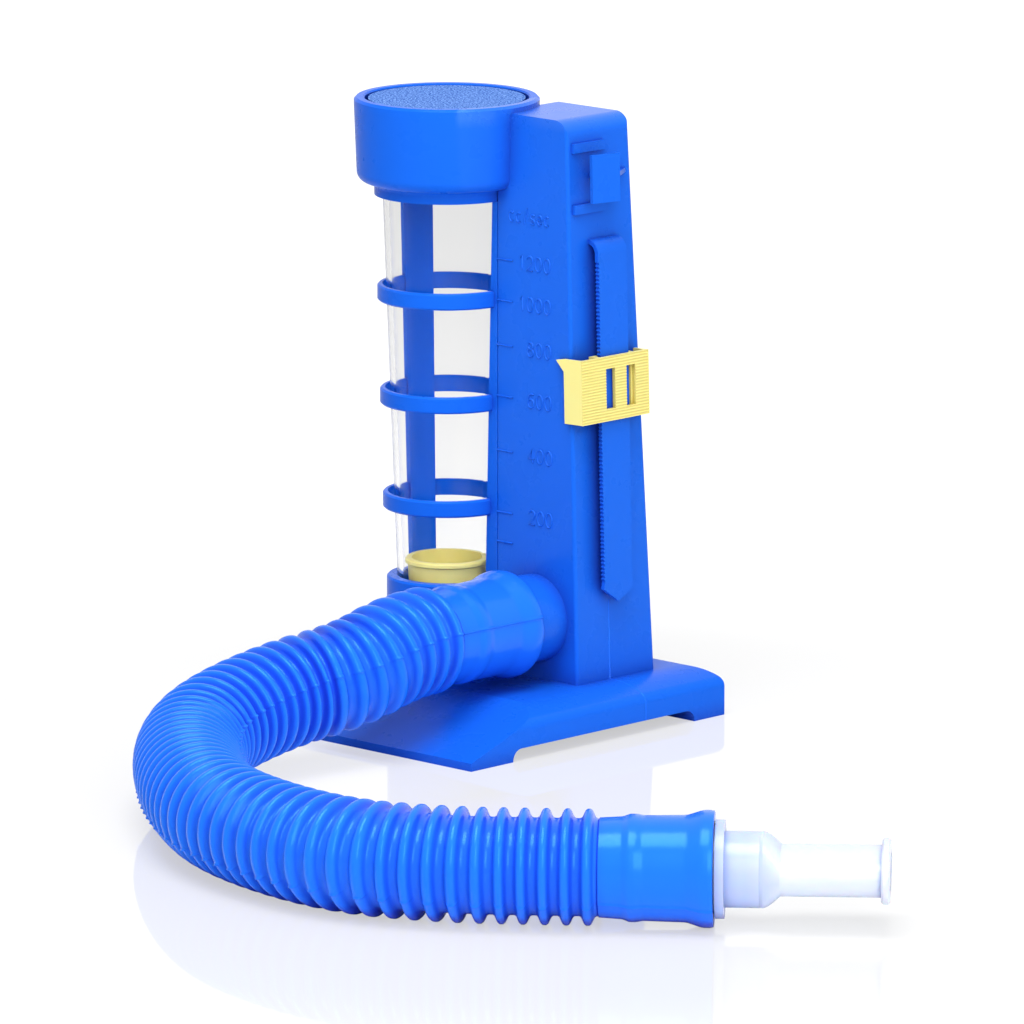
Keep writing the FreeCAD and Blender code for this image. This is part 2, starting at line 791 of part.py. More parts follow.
CUFF_BODY_END = "(cuff_lip_length + cuff_cone_length + cuff_body_length)"
CUFF_LENGTH = f"({CUFF_BODY_END} + cuff_bead_length + cuff_neck_length)"


def cuff_corners():
    """Half of a hose cuff, from its lip at zero to the first corrugation."""
    bead = f"{CUFF_BODY_END} + cuff_bead_length"
    stop = "spigot_length + spigot_edge"
    return [
        ("cuff_bore", "0"), ("cuff_lip_radius - cuff_edge", "0"), ("cuff_lip_radius", "cuff_edge"),
        ("cuff_lip_radius", "cuff_lip_length"),
        ("cuff_body_radius", "cuff_lip_length + cuff_cone_length"),
        ("cuff_bead_foot", CUFF_BODY_END),
        ("cuff_bead_radius", f"{CUFF_BODY_END} + cuff_bead_slope"),
        ("cuff_bead_radius", f"{bead} - cuff_bead_slope"), ("cuff_neck_foot", bead),
        ("cuff_neck_radius", CUFF_LENGTH), ("hose_bore", CUFF_LENGTH),
        ("hose_bore", stop), ("cuff_bore", stop),
    ]


def make_port():
    length = "port_collar_length"
    tip = "port_collar_length + spigot_length"
    corners = [
        ("port_bore", "0"), ("port_collar_radius", "0"), ("port_collar_radius", length),
        ("spigot_radius", length), ("spigot_radius", f"{tip} - spigot_edge"),
        ("spigot_radius - spigot_edge", tip), ("port_bore", tip),
    ]
    keep(turned_body("port_turned", corners, port_frame()), "hose_port")
    start = port_frame().multiply(Placement(Vector(0, 0, size("port_collar_length")), Rotation()))
    keep(turned_body("near_cuff", cuff_corners(), start), "port_cuff")


def hose_points():
    """All the points of the hose's route, from the near cuff's end to the far cuff's."""
    near = port_frame().multVec(Vector(0, 0, size("port_collar_length") + number(CUFF_LENGTH)))
    return [near] + [Vector(*point) for point in HOSE_ROUTE] + [far_cuff_frame().Base]


def rounded_route(points):
    """Straight runs joined by tangent arcs, each as large as its two runs allow."""
    edges, radii = [], []
    start = points[0]
    for before, corner, after in zip(points, points[1:], points[2:]):
        back = (before - corner).normalize()
        ahead = (after - corner).normalize()
        half_turn = (math.pi - back.getAngle(ahead)) / 2
        setback = CORNER_SHARE * min((before - corner).Length, (after - corner).Length)
        radius = setback / math.tan(half_turn)
        enter, leave = corner + back * setback, corner + ahead * setback
        inward = (back + ahead).normalize()
        middle = corner + inward * (radius / math.cos(half_turn) - radius)
        edges.append(Part.LineSegment(start, enter).toShape())
        edges.append(Part.Arc(enter, middle, leave).toShape())
        radii.append(round(radius))
        start = leave
    edges.append(Part.LineSegment(start, points[-1]).toShape())
    print("hose arc radii:", radii)
    return Part.Wire(edges)


def make_hose():
    points = hose_points()
    path = rounded_route(points)
    way = (points[1] - points[0]).normalize()
    sweeps = []
    for radius in (size("hose_radius"), size("hose_inner_radius")):
        circle = Part.Wire(Part.Circle(points[0], way, radius).toShape())
        sweeps.append(path.makePipeShell([circle], True, False))
        expected = math.pi * radius ** 2 * path.Length
        print(f"hose: length {path.Length:.1f}, volume ratio {sweeps[-1].Volume / expected:.5f}")
    solid_from("corrugated_hose", sweeps[0].cut(sweeps[1]))
    turned_over = Placement(Vector(0, 0, number(CUFF_LENGTH)), Rotation(Vector(1, 0, 0), 180))
    lip_out = far_cuff_frame().multiply(turned_over)
    keep(turned_body("far_cuff", cuff_corners(), lip_out), "mouthpiece_cuff")


def oval(half_wide, half_high, along):
    """A smooth closed oval across the mouthpiece's axis, squarer than an ellipse when it is flat."""
    power = FLAT_POWER if half_wide > half_high else 1.0
    points = []
    for i in range(OVAL_POINTS):
        turn = 2 * math.pi * i / OVAL_POINTS
        cos, sin = math.cos(turn), math.sin(turn)
        points.append(Vector(cos * half_high, math.copysign(abs(sin) ** power, sin) * half_wide, along))
    curve = Part.BSplineCurve()
    curve.interpolate(points, PeriodicFlag=True)
    return Part.Wire(curve.toShape())


def make_mouthpiece():
    """A round connector in the cuff, a collar, and a flattened blade with a lip for the teeth."""
    collar_low = size("mouth_gap")
    collar_high = collar_low + size("mouth_collar_length")
    body_high = collar_high + size("mouth_body_length")
    blade_low = body_high + size("mouth_shoulder_length")
    blade_high = blade_low + size("mouth_blade_length")
    tip = blade_high + size("mouth_lip_length")
    body, inside = size("mouth_body_radius"), size("mouth_body_radius") - size("mouth_wall")
    wide, high = size("mouth_blade_width") / 2, size("mouth_blade_height") / 2
    lip_wide, lip_high = size("mouth_lip_width") / 2, size("mouth_lip_height") / 2
    wall, bite, deep = size("mouth_wall"), size("mouth_section_bite"), size("mouth_spigot_length")
    slip, edge = size("mouth_section_slip"), size("mouth_lip_edge")
    steps = round(size("mouth_shoulder_steps"))

    def barrel(radius, low, top):
        return Part.makeCylinder(radius, top - low, Vector(0, 0, low))

    round_part = body - slip
    domed = [oval(round_part, round_part, body_high - bite)]
    for step in range(steps + 1):
        share = step / steps
        narrow = high + (round_part - high) * math.cos(share * math.pi / 2)
        broad = round_part + (wide - round_part) * share
        domed.append(oval(broad, narrow, body_high + share * (blade_low - body_high)))
    blade = Part.makeLoft(domed + [oval(wide, high, tip - bite / 2)], True, True)
    lip = Part.makeLoft([
        oval(lip_wide - edge, lip_high - edge, blade_high),
        oval(lip_wide, lip_high, blade_high + edge),
        oval(lip_wide, lip_high, tip - edge),
        oval(lip_wide - edge, lip_high - edge, tip),
    ], True, True)
    spigot = barrel(size("mouth_spigot_radius"), -deep, collar_low + bite)
    collar = barrel(size("mouth_collar_radius"), collar_low, collar_high)
    outside = spigot.fuse(collar).fuse(barrel(body, collar_low, body_high)).fuse(blade).fuse(lip)
    slot = Part.makeLoft([
        oval(inside - edge, inside - edge, body_high - 2 * bite),
        oval(wide - wall, high - wall, blade_low),
        oval(wide - wall, high - wall, tip + bite),
    ], True, True)
    shape = outside.cut(barrel(inside, -deep - bite, body_high)).cut(slot).removeSplitter()
    item = solid_from("mouthpiece", shape)
    seat = Placement(Vector(0, 0, number(CUFF_LENGTH)), Rotation())
    item.Placement = far_cuff_frame().multiply(seat)


def make_rail():
    """A serrated strip on a stem; its top curls back into the face and its foot is pointed."""
    middle, half = size("rail_middle"), size("rail_width") / 2
    low, high = size("rail_low"), size("rail_high")
    off, strip = size("rail_stand_off"), size("rail_strip")
    tip, pitch, depth = size("rail_tip"), size("tooth_pitch"), size("tooth_depth")
    near, far = middle - half, middle + half
    shoulder = low + size("rail_shoulder")
    places = [(middle, low), (far, low + tip), (far, high), (near, high)]
    for i in range(int((high - shoulder) / pitch) - 3):
        up = high - (i + 2) * pitch
        places += [(near, up), (near + depth, up - pitch / 2)]
    places.append((near, shoulder))
    points = [Vector(off, along, up) for along, up in places]
    plate = Part.Face(Part.makePolygon(points + points[:1])).extrude(Vector(strip, 0, 0))
    pivot = Vector(0, near, high)
    outer = Part.makeCylinder(off + strip, 2 * half, pivot, Vector(0, 1, 0))
    inner = Part.makeCylinder(off, 2 * half, pivot, Vector(0, 1, 0))
    quarter = box((0, near, high), (off + strip, far, high + off + strip))
    curl = outer.common(quarter).cut(inner)
    stem_half = size("rail_stem_width") / 2
    stem = box((0, middle - stem_half, low + tip), (off, middle + stem_half, high + off / 2))
    item = solid_from("pointer_rail", plate.multiFuse([curl, stem]).removeSplitter())
    item.Placement = rail_frame()


def make_hook():
    """A stood-off plate on a level web, between two short locating bars."""
    front, width = size("hook_front"), size("hook_width")
    low, high = size("hook_low"), size("hook_low") + size("hook_height")
    off, plate = size("hook_stand_off"), size("hook_plate")
    yaw = math.radians(size("hook_yaw"))
    middle, web_half = (low + high) / 2, size("hook_web") / 2
    panel = box((off, front, low), (off + plate, front + width, high))
    panel.rotate(Vector(off, front, 0), Vector(0, 0, 1), -size("hook_yaw"))

    def inside_plate(along):
        """How far out the middle of the yawed plate's thickness stands."""
        return off + (along - front) * math.tan(yaw) + plate / 2

    start, back = front + size("hook_web_setback"), front + width * math.cos(yaw)
    plan = [
        (0, start), (inside_plate(start), start),
        (inside_plate(back - plate), back - plate), (0, back + size("hook_web_reach")),
    ]
    points = [Vector(x, y, middle - web_half) for x, y in plan + plan[:1]]
    web = Part.Face(Part.makePolygon(points)).extrude(Vector(0, 0, 2 * web_half))
    item = solid_from("storage_hook", panel.fuse(web).removeSplitter())
    item.Placement = rail_frame()
    tall, deep, near = size("hook_bar_height"), size("hook_bar_depth"), size("hook_bar_front")
    end = near + size("hook_bar_length")
    above = high + size("hook_bar_gap_above")
    below = low - size("hook_bar_gap_below")
    upper = box((0, near, above), (deep, end, above + tall))
    lower = box((0, near, below - tall), (deep, end, below))
    bars = solid_from("hook_bars", Part.makeCompound([upper, lower]))
    bars.Placement = rail_frame()


def ribbed_plate(front, back, low, high):
    """The pointer's plate, its outer face a row of fine level ribs for the thumb."""
    inner, outer = size("slider_plate_in"), size("slider_plate_in") + size("slider_plate")
    count = round((high - low) / size("slider_rib_pitch"))
    pitch = (high - low) / count
    points = [Vector(inner, front, low), Vector(outer, front, low)]
    for i in range(count):
        valley = low + (i + 0.5) * pitch
        points.append(Vector(outer - size("slider_rib_depth"), front, valley))
        points.append(Vector(outer, front, low + (i + 1) * pitch))
    points.append(Vector(inner, front, high))
    return Part.Face(Part.makePolygon(points + points[:1])).extrude(Vector(0, back - front, 0))


def rail_lips(low, high):
    """The walls beside the rail and the lips that reach behind it, a running gap away."""
    gap, lip = size("slider_lip_gap"), size("slider_lip")
    half = size("rail_width") / 2
    deep = size("rail_stand_off") - gap
    lips = []
    for side in (-1, 1):
        inside = size("rail_middle") + side * (half + gap)
        outside = inside + side * lip
        hook_end = size("rail_middle") + side * (half - lip)
        wall, hook = sorted((inside, outside)), sorted((hook_end, outside))
        lips.append(box((deep - lip, wall[0], low), (size("slider_plate_in"), wall[1], high)))
        lips.append(box((deep - lip, hook[0], low), (deep, hook[1], high)))
    return lips


def make_slider():
    """The goal pointer: a slotted plate, a leg round the tower's corner and lips behind the rail."""
    front, back = size("slider_front"), size("slider_back")
    low, high = size("slider_low"), size("slider_low") + size("slider_height")
    inner, outer = size("slider_plate_in"), size("slider_plate_in") + size("slider_plate")
    leg = size("slider_leg")
    slot_low = low + (size("slider_height") - size("slider_slot_height")) / 2
    slots = []
    for side in (-0.5, 0.5):
        centre = size("rail_middle") + leg + side * size("slider_slot_spacing")
        half = size("slider_slot_width") / 2
        slots.append(box((0, centre - half, slot_low),
                         (2 * outer, centre + half, slot_low + size("slider_slot_height"))))
    leg_in = outer - size("slider_leg_depth")
    near_leg = box((leg_in, front, low), (inner, front + leg, high))
    tip = Vector(leg_in - size("pointer_reach"), front, high - size("pointer_drop"))
    corners = [tip, Vector(leg_in, front, high), Vector(leg_in, front, high - size("pointer_height"))]
    pointer = Part.Face(Part.makePolygon(corners + corners[:1])).extrude(Vector(0, leg, 0))
    far_leg = box((inner - size("slider_far_leg"), back - leg, low), (inner, back, high))
    plate = ribbed_plate(front, back, low, high).cut(Part.makeCompound(slots))
    shape = plate.multiFuse([near_leg, pointer, far_leg] + rail_lips(low, high)).removeSplitter()
    item = solid_from("pointer_slider", shape)
    item.Placement = rail_frame()


def check_and_write():
    DOC.recompute()
    for item in DOC.Objects:
        if "Invalid" in item.State or "Error" in item.State:
            raise RuntimeError(f"{item.Label} did not recompute: {item.State}")
    os.makedirs("parts", exist_ok=True)
    for item in NODES:
        if item.Shape.isNull() or not item.Shape.isValid() or not item.Shape.Solids:
            raise RuntimeError(f"{item.Label} has no valid solid")
        item.Shape.exportStep(f"parts/{item.Label}.step")
        span = item.Shape.BoundBox
        print(f"{item.Label}: {len(item.Shape.Solids)} solid, volume {item.Shape.Volume:.0f},"
              f" z {span.ZMin:.2f} to {span.ZMax:.2f}")
    print("sub-parts written:", len(NODES))


make_base()
cup_shape = make_cup()
make_tower(cup_shape)
make_filter()
make_tube()
make_cage()
make_float()
make_float_stop()
make_port()
make_hose()
make_mouthpiece()
make_rail()
make_hook()
make_slider()
check_and_write()
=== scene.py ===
import json
import math

import bmesh
import bpy
import numpy as np
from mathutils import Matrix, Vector


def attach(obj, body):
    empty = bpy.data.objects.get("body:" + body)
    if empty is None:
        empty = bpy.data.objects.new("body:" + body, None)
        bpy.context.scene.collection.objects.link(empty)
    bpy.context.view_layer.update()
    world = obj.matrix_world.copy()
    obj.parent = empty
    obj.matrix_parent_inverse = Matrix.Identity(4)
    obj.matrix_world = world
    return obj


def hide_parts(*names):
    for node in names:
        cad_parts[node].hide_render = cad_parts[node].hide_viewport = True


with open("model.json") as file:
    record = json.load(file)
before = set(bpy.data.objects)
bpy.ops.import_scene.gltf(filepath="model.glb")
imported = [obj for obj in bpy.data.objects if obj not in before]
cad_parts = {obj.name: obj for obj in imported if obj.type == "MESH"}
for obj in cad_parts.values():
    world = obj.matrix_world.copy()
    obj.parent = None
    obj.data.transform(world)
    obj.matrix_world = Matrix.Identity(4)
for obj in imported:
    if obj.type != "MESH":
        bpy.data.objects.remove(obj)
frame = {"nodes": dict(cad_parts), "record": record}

nodes = frame["nodes"]
scene = bpy.context.scene
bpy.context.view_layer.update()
scene.view_settings.view_transform = "Standard"

# The view of the photograph: angles in degrees, lens and sensor in millimetres, the rest in metres.
view = {
    "azimuth": 43.88,
    "elevation": 11.2,
    "distance": 2.74791,
    "target": (0.00559, 0.00655, 0.05732),
    "lens": 354.74,
    "sensor": 36.0,
    "farthest": 20.0,
}

# The hose's route between its cuffs, the same points as in the part, in metres.
hoseRoute = [
    (0.01543, -0.03502, 0.02969),
    (0.01543, -0.04700, 0.02969),
    (0.01540, -0.06510, 0.02480),
    (0.00840, -0.08570, 0.02130),
    (0.01180, -0.11550, 0.01750),
    (0.02420, -0.13640, 0.01475),
    (0.05770, -0.16510, 0.01475),
    (0.08800, -0.18250, 0.01475),
    (0.13150, -0.18910, 0.01475),
    (0.15850, -0.17750, 0.01475),
    (0.17829, -0.16172, 0.01475),
    (0.18894, -0.15263, 0.01475),
]


def link(obj):
    scene.collection.objects.link(obj)
    return obj


# A smooth mesh over rows of points; points is an array of rows by columns by xyz.
def gridMesh(name, points, closedAround=True, closedAlong=False):
    rows, columns = points.shape[:2]
    numbers = np.arange(rows * columns).reshape(rows, columns)
    if closedAround:
        numbers = np.concatenate([numbers, numbers[:, :1]], axis=1)
    if closedAlong:
        numbers = np.concatenate([numbers, numbers[:1]], axis=0)
    quads = np.stack(
        [numbers[:-1, :-1], numbers[:-1, 1:], numbers[1:, 1:], numbers[1:, :-1]], axis=-1
    ).reshape(-1, 4)
    mesh = bpy.data.meshes.new(name)
    mesh.vertices.add(rows * columns)
    mesh.vertices.foreach_set("co", points.reshape(-1).astype(np.float32))
    mesh.loops.add(quads.size)
    mesh.loops.foreach_set("vertex_index", quads.reshape(-1).astype(np.int32))
    mesh.polygons.add(len(quads))
    mesh.polygons.foreach_set("loop_start", np.arange(0, quads.size, 4, dtype=np.int32))
    mesh.update(calc_edges=True)
    mesh.validate()
    mesh.polygons.foreach_set("use_smooth", np.ones(len(quads), bool))
    return mesh


# A material's node tree, with short ways to add and join nodes.
class Nodes:
    def __init__(self, name):
        self.material = bpy.data.materials.new(name)
        self.material.use_nodes = True
        self.tree = self.material.node_tree
        self.shader = self.tree.nodes["Principled BSDF"]
        self.place = self.tree.nodes.new("ShaderNodeTexCoord").outputs["Object"]

    def add(self, kind, inputs=None, **settings):
        node = self.tree.nodes.new("ShaderNode" + kind)
        for key, value in settings.items():
            setattr(node, key, value)
        for key, value in (inputs or {}).items():
            self.join(value, node.inputs[key])
        return node

    def join(self, value, socket):
        if isinstance(value, bpy.types.NodeSocket):
            self.tree.links.new(value, socket)
        else:
            socket.default_value = value

    def set(self, **values):
        for key, value in values.items():
            self.join(value, self.shader.inputs[key.replace("_", " ")])

    def noise(self, scale, detail=3.0, roughness=0.5):
        inputs = {"Vector": self.place, "Scale": scale, "Detail": detail, "Roughness": roughness}
        return self.add("TexNoise", inputs).outputs["Fac"]

    # The value from start to end spread over low to high, and no further.
    def span(self, value, start, end, low=0.0, high=1.0, **settings):
        inputs = {"Value": value, "From Min": start, "From Max": end, "To Min": low, "To Max": high}
        return self.add("MapRange", inputs, **settings).outputs["Result"]

    # The value 0 to 1 spread over low to high.
    def ramp(self, value, low, high):
        return self.span(value, 0.0, 1.0, low, high)

    # How far the place lies along a direction.
    def along(self, way):
        node = self.add("VectorMath", {0: self.place, 1: way}, operation="DOT_PRODUCT")
        return node.outputs["Value"]

    # The first colour where share is 0 and the second where it is 1.
    def mix(self, share, first, second):
        node = self.add("Mix", data_type="RGBA")
        colours = [socket for socket in node.inputs if socket.type == "RGBA"]
        for value, socket in zip((share, first, second), (node.inputs["Factor"], *colours)):
            self.join(value, socket)
        return next(socket for socket in node.outputs if socket.type == "RGBA")

    # The plain colour on open surfaces, going over to a darker tone in corners and narrow gaps:
    # painted shade, found by ambient occlusion.
    def cornerShade(self, distance, plain, deep, closed=0.35, free=0.92, alone=False):
        node = self.add("AmbientOcclusion", {"Distance": distance}, samples=8, only_local=alone)
        return self.mix(self.span(node.outputs["AO"], closed, free), deep, plain)

    def bump(self, height, strength, distance):
        inputs = {"Height": height, "Strength": strength, "Distance": distance}
        return self.add("Bump", inputs).outputs["Normal"]


def tone(red, green, blue):
    return (red, green, blue, 1.0)


# Two tones that change softly over a face, and a roughness that wanders a little.
def startLook(name, look):
    kit = Nodes(name)
    plain = kit.mix(kit.noise(*look["patches"]), *look["tones"])
    kit.set(Roughness=kit.ramp(kit.noise(*look["grain"]), *look["roughness"]), IOR=look["ior"])
    return kit, plain


# The blue moulding: its tones, the painted shade in its corners and gaps, how glossy each region
# is, and the heights and place that part them.
moulded = {
    "patches": (28.0, 3.0),
    "tones": (tone(0.0070, 0.110, 0.650), tone(0.0080, 0.120, 0.700)),
    "deep": tone(0.0100, 0.052, 0.420),
    "reach": 0.007,
    "grain": (140.0, 4.0),
    "roughness": (0.24, 0.32),
    "ior": 1.49,
    "tint": tone(0.35, 0.70, 1.0),
    "base": 0.08, "cup": 0.08, "tower": 0.2, "topFace": 1.0,
    "baseTop": (0.012, 0.03), "towerTop": (0.164, 0.167), "towerSide": (0.0, 0.001),
    "pores": (1900.0, 2.0),
    "relief": (0.05, 0.00008),
}


# The cage round the clear tube takes its painted corner shade from itself alone, as light passes
# the tube.
def mouldedBlue(name, alone=False):
    kit, plain = startLook(name, moulded)
    kit.set(Base_Color=kit.cornerShade(moulded["reach"], plain, moulded["deep"], alone=alone))
    spot = kit.add("SeparateXYZ", {"Vector": kit.place}).outputs
    top = kit.span(spot["Z"], *moulded["towerTop"], moulded["tower"], moulded["topFace"])
    across = kit.span(spot["X"], *moulded["towerSide"], moulded["cup"], top)
    sheen = kit.ramp(kit.span(spot["Z"], *moulded["baseTop"]), moulded["base"], across)
    kit.set(Specular_IOR_Level=sheen, Specular_Tint=moulded["tint"])
    kit.set(Normal=kit.bump(kit.noise(*moulded["pores"]), *moulded["relief"]))
    return kit.material


# The hose and its cuffs, a brighter and glossier blue with painted shade in the valleys.
blown = {
    "patches": (40.0, 4.0),
    "tones": (tone(0.0100, 0.138, 0.800), tone(0.0110, 0.150, 0.850)),
    "deep": tone(0.0120, 0.050, 0.620),
    "reach": 0.004,
    "closed": 0.45,
    "free": 0.95,
    "grain": (220.0, 4.0),
    "roughness": (0.19, 0.26),
    "ior": 1.5,
    "gloss": 0.5,
    "tint": tone(0.15, 0.65, 1.0),
    "pores": (1300.0, 3.0),
    "relief": (0.08, 0.00010),
}


def hoseBlue():
    kit, plain = startLook("hoseBlue", blown)
    shaded = kit.cornerShade(blown["reach"], plain, blown["deep"], blown["closed"], blown["free"])
    kit.set(Base_Color=shaded, Specular_IOR_Level=blown["gloss"], Specular_Tint=blown["tint"])
    kit.set(Normal=kit.bump(kit.noise(*blown["pores"]), *blown["relief"]))
    return kit.material


# The yellow pointer and float, with painted shade in corners. The pointer's thumb ribs get painted
# shade in their valleys, which lie deeper along the rail's outward normal; the last number parts
# them from all that is behind.
yellow = {
    "patches": (60.0, 3.0),
    "tones": (tone(0.830, 0.740, 0.240), tone(0.870, 0.780, 0.270)),
    "deep": tone(0.480, 0.370, 0.070),
    "reach": 0.009,
    "grain": (260.0, 3.0),
    "roughness": (0.36, 0.48),
    "ior": 1.5,
    "gloss": 0.3,
    "glow": 0.10,
    "glowDepth": 0.002,
    "pores": (1500.0, 2.0),
    "relief": (0.10, 0.00010),
    "paintedRibShade": tone(0.640, 0.540, 0.150),
    "out": (0.999607, 0.0, 0.028040),
    "valley": 0.036732,
    "crest": 0.036882,
    "behind": 0.03668,
}


def paleYellow():
    kit, openFace = startLook("paleYellow", yellow)
    plain = kit.cornerShade(yellow["reach"], openFace, yellow["deep"], alone=True)
    depth = kit.along(yellow["out"])
    valley = kit.ramp(kit.span(depth, yellow["valley"], yellow["crest"]), 1.0, 0.0)
    outer = kit.add("Math", {0: depth, 1: yellow["behind"]}, operation="GREATER_THAN").outputs[0]
    shade = kit.add("Math", {0: valley, 1: outer}, operation="MULTIPLY").outputs[0]
    kit.set(Base_Color=kit.mix(shade, plain, yellow["paintedRibShade"]))
    kit.set(Specular_IOR_Level=yellow["gloss"])
    kit.set(Subsurface_Weight=yellow["glow"], Subsurface_Scale=yellow["glowDepth"])
    kit.set(Normal=kit.bump(kit.noise(*yellow["pores"]), *yellow["relief"]))
    return kit.material


# The clear tube. Light reaches what stands in it: the wall is almost absent for shadow and
# bounce rays.
clear = {
    "marks": (420.0, 5.0, 0.6),
    "tones": (tone(0.995, 0.996, 0.997), tone(1.0, 1.0, 1.0)),
    "roughness": (0.0, 0.02),
    "ior": 1.16,
    "bounceAlpha": 0.12,
}


def clearPlastic():
    kit = Nodes("clearPlastic")
    marks = kit.noise(*clear["marks"])
    kit.set(Base_Color=kit.mix(marks, *clear["tones"]), IOR=clear["ior"], Transmission_Weight=1.0)
    kit.set(Roughness=kit.ramp(marks, *clear["roughness"]))
    rays = kit.add("LightPath").outputs
    inputs = {0: rays["Is Shadow Ray"], 1: rays["Is Diffuse Ray"]}
    indirect = kit.add("Math", inputs, operation="MAXIMUM").outputs[0]
    kit.set(Alpha=kit.ramp(indirect, 1.0, clear["bounceAlpha"]))
    return kit.material


# The mouthpiece, bluer over the collar and the round body, where there is more plastic, than on
# the blade, with painted shade in its corners: its axis, and where along it the body ends and the
# blade starts.
milky = {
    "patches": (60.0, 2.0),
    "tones": (tone(0.40, 0.48, 0.77), tone(0.44, 0.52, 0.79)),
    "bladeTones": (tone(0.57, 0.63, 0.76), tone(0.61, 0.67, 0.78)),
    "deep": tone(0.27, 0.34, 0.62),
    "reach": 0.004,
    "grain": (120.0, 2.0),
    "roughness": (0.20, 0.28),
    "ior": 1.5,
    "gloss": 0.35,
    "glow": 0.30,
    "glowDepth": 0.003,
    "way": (0.760406, 0.649448, 0.0),
    "bodyEnd": 0.0815,
    "bladeStart": 0.0915,
}


def milkyWhite():
    kit, body = startLook("milkyWhite", milky)
    blade = kit.mix(kit.noise(*milky["patches"]), *milky["bladeTones"])
    along = kit.span(kit.along(milky["way"]), milky["bodyEnd"], milky["bladeStart"])
    kit.set(Base_Color=kit.cornerShade(milky["reach"], kit.mix(along, body, blade), milky["deep"]))
    kit.set(Specular_IOR_Level=milky["gloss"])
    kit.set(Subsurface_Weight=milky["glow"], Subsurface_Scale=milky["glowDepth"])
    return kit.material


# The two seals of the tube.
rubber = {
    "patches": (300.0,),
    "tones": (tone(0.02, 0.05, 0.14), tone(0.03, 0.07, 0.20)),
    "grain": (500.0,),
    "roughness": (0.5, 0.7),
    "ior": 1.5,
}


def sealRubber():
    kit, plain = startLook("sealRubber", rubber)
    kit.set(Base_Color=plain)
    return kit.material


# The filter's foam, speckled and rough.
foam = {
    "cells": 1500.0,
    "grains": (1900.0, 2.0, 0.6),
    "speckle": (0.46, 0.56),
    "tones": (tone(0.008, 0.080, 0.400), tone(0.20, 0.37, 0.80)),
    "roughness": (0.75, 0.95),
    "gloss": 0.2,
    "relief": (0.7, 0.0004),
}


def filterFoam():
    kit = Nodes("filterFoam")
    inputs = {"Vector": kit.place, "Scale": foam["cells"]}
    cells = kit.add("TexVoronoi", inputs, feature="F1").outputs["Distance"]
    speckles = kit.span(kit.noise(*foam["grains"]), *foam["speckle"])
    kit.set(Base_Color=kit.mix(speckles, *foam["tones"]))
    kit.set(Roughness=kit.ramp(cells, *foam["roughness"]), Specular_IOR_Level=foam["gloss"])
    kit.set(Normal=kit.bump(cells, *foam["relief"]))
    return kit.material


materials = {
    "housing_blue": mouldedBlue("mouldedBlue"),
    "hose_blue": hoseBlue(),
    "pale_yellow": paleYellow(),
    "clear_tube": clearPlastic(),
    "milky_white": milkyWhite(),
    "seal_rubber": sealRubber(),
    "filter_foam": filterFoam(),
}
cageBlue = mouldedBlue("cageBlue", alone=True)


def dress(obj, slotName, material=None):
    obj.data.materials.clear()
    obj.data.materials.append(material or materials[slotName])


for part in frame["record"]["subparts"]:
    dress(nodes[part["node"]], part["material_slot"])
dress(nodes["tube_cage"], "housing_blue", cageBlue)
print("materials given to the CAD pieces")


# Points along a clamped quadratic curve through the route, the hose's centreline.
def hosePath(points):
    curve = bpy.data.curves.new("hoseLine", "CURVE")
    curve.dimensions = "3D"
    curve.resolution_u = hose["resolution"]
    spline = curve.splines.new("NURBS")
    spline.points.add(len(points) - 1)
    for place, point in zip(points, spline.points):
        point.co = (*place, 1.0)
    spline.order_u = 3
    spline.use_endpoint_u = True
    holder = link(bpy.data.objects.new("hoseLine", curve))
    bpy.context.view_layer.update()
    line = bpy.data.meshes.new_from_object(holder)
    path = np.array([vertex.co[:] for vertex in line.vertices])
    bpy.data.objects.remove(holder)
    bpy.data.meshes.remove(line)
    return path


# Places and unit directions along a path at the given shares of its length, and the length.
def placesAlong(path, shares):
    steps = np.linalg.norm(np.diff(path, axis=0), axis=1)
    along = np.concatenate([[0.0], np.cumsum(steps)])
    wanted = np.asarray(shares) * along[-1]
    places = np.stack([np.interp(wanted, along, path[:, k]) for k in range(3)], axis=1)
    ways = np.gradient(places, wanted, axis=0)
    return places, ways / np.linalg.norm(ways, axis=1, keepdims=True), along[-1]


# The hose: radii in metres, and the steps and width of a rib as shares of one corrugation.
hose = {
    "crest": 0.01465,
    "valley": 0.01225,
    "wall": 0.0007,
    "corrugations": 55,
    "steps": (0.0, 0.10, 0.18, 0.235, 0.285, 0.34, 0.42, 0.5, 0.58, 0.66, 0.715, 0.765, 0.82, 0.90),
    "around": 76,
    "resolution": 24,
    "innerStep": 3,
    "ribWidth": 0.26,
    "ribPower": 3.6,
    "seamStart": math.radians(165.0),
    "seamEnd": math.radians(146.0),
    "seamAngles": (-0.045, -0.03, -0.015, 0.0, 0.015, 0.03, 0.045),
    "seamClear": 0.02,
    "seamHeight": 0.00050,
    "seamWidth": 0.00032,
}


# Angles round a hose or cuff from its first mould seam, closer together at both seams.
def seamedAngles():
    even = np.linspace(0.0, 2 * math.pi, hose["around"], endpoint=False)
    close = np.array(hose["seamAngles"])
    seams = np.concatenate([close, math.pi + close]) % (2 * math.pi)
    apart = np.abs((even[:, None] - seams[None, :] + math.pi) % (2 * math.pi) - math.pi).min(axis=1)
    return np.sort(np.concatenate([even[apart > hose["seamClear"]], seams]))


# Height of the seam's ridge, a bell curve of the distance round from the nearer seam.
def seamRise(angles, radius):
    off = np.abs((angles + math.pi / 2) % math.pi - math.pi / 2)
    return hose["seamHeight"] * np.exp(-((off * radius / hose["seamWidth"]) ** 2))


# Unit vectors round each centre: level sideways times the cosine plus upwards times the sine.
def ringsRound(ways, angles):
    side = np.cross(ways, (0.0, 0.0, 1.0))
    side /= np.linalg.norm(side, axis=1, keepdims=True)
    lift = np.cross(side, ways)
    across, up = np.cos(angles)[:, :, None], np.sin(angles)[:, :, None]
    return side[:, None, :] * across + lift[:, None, :] * up


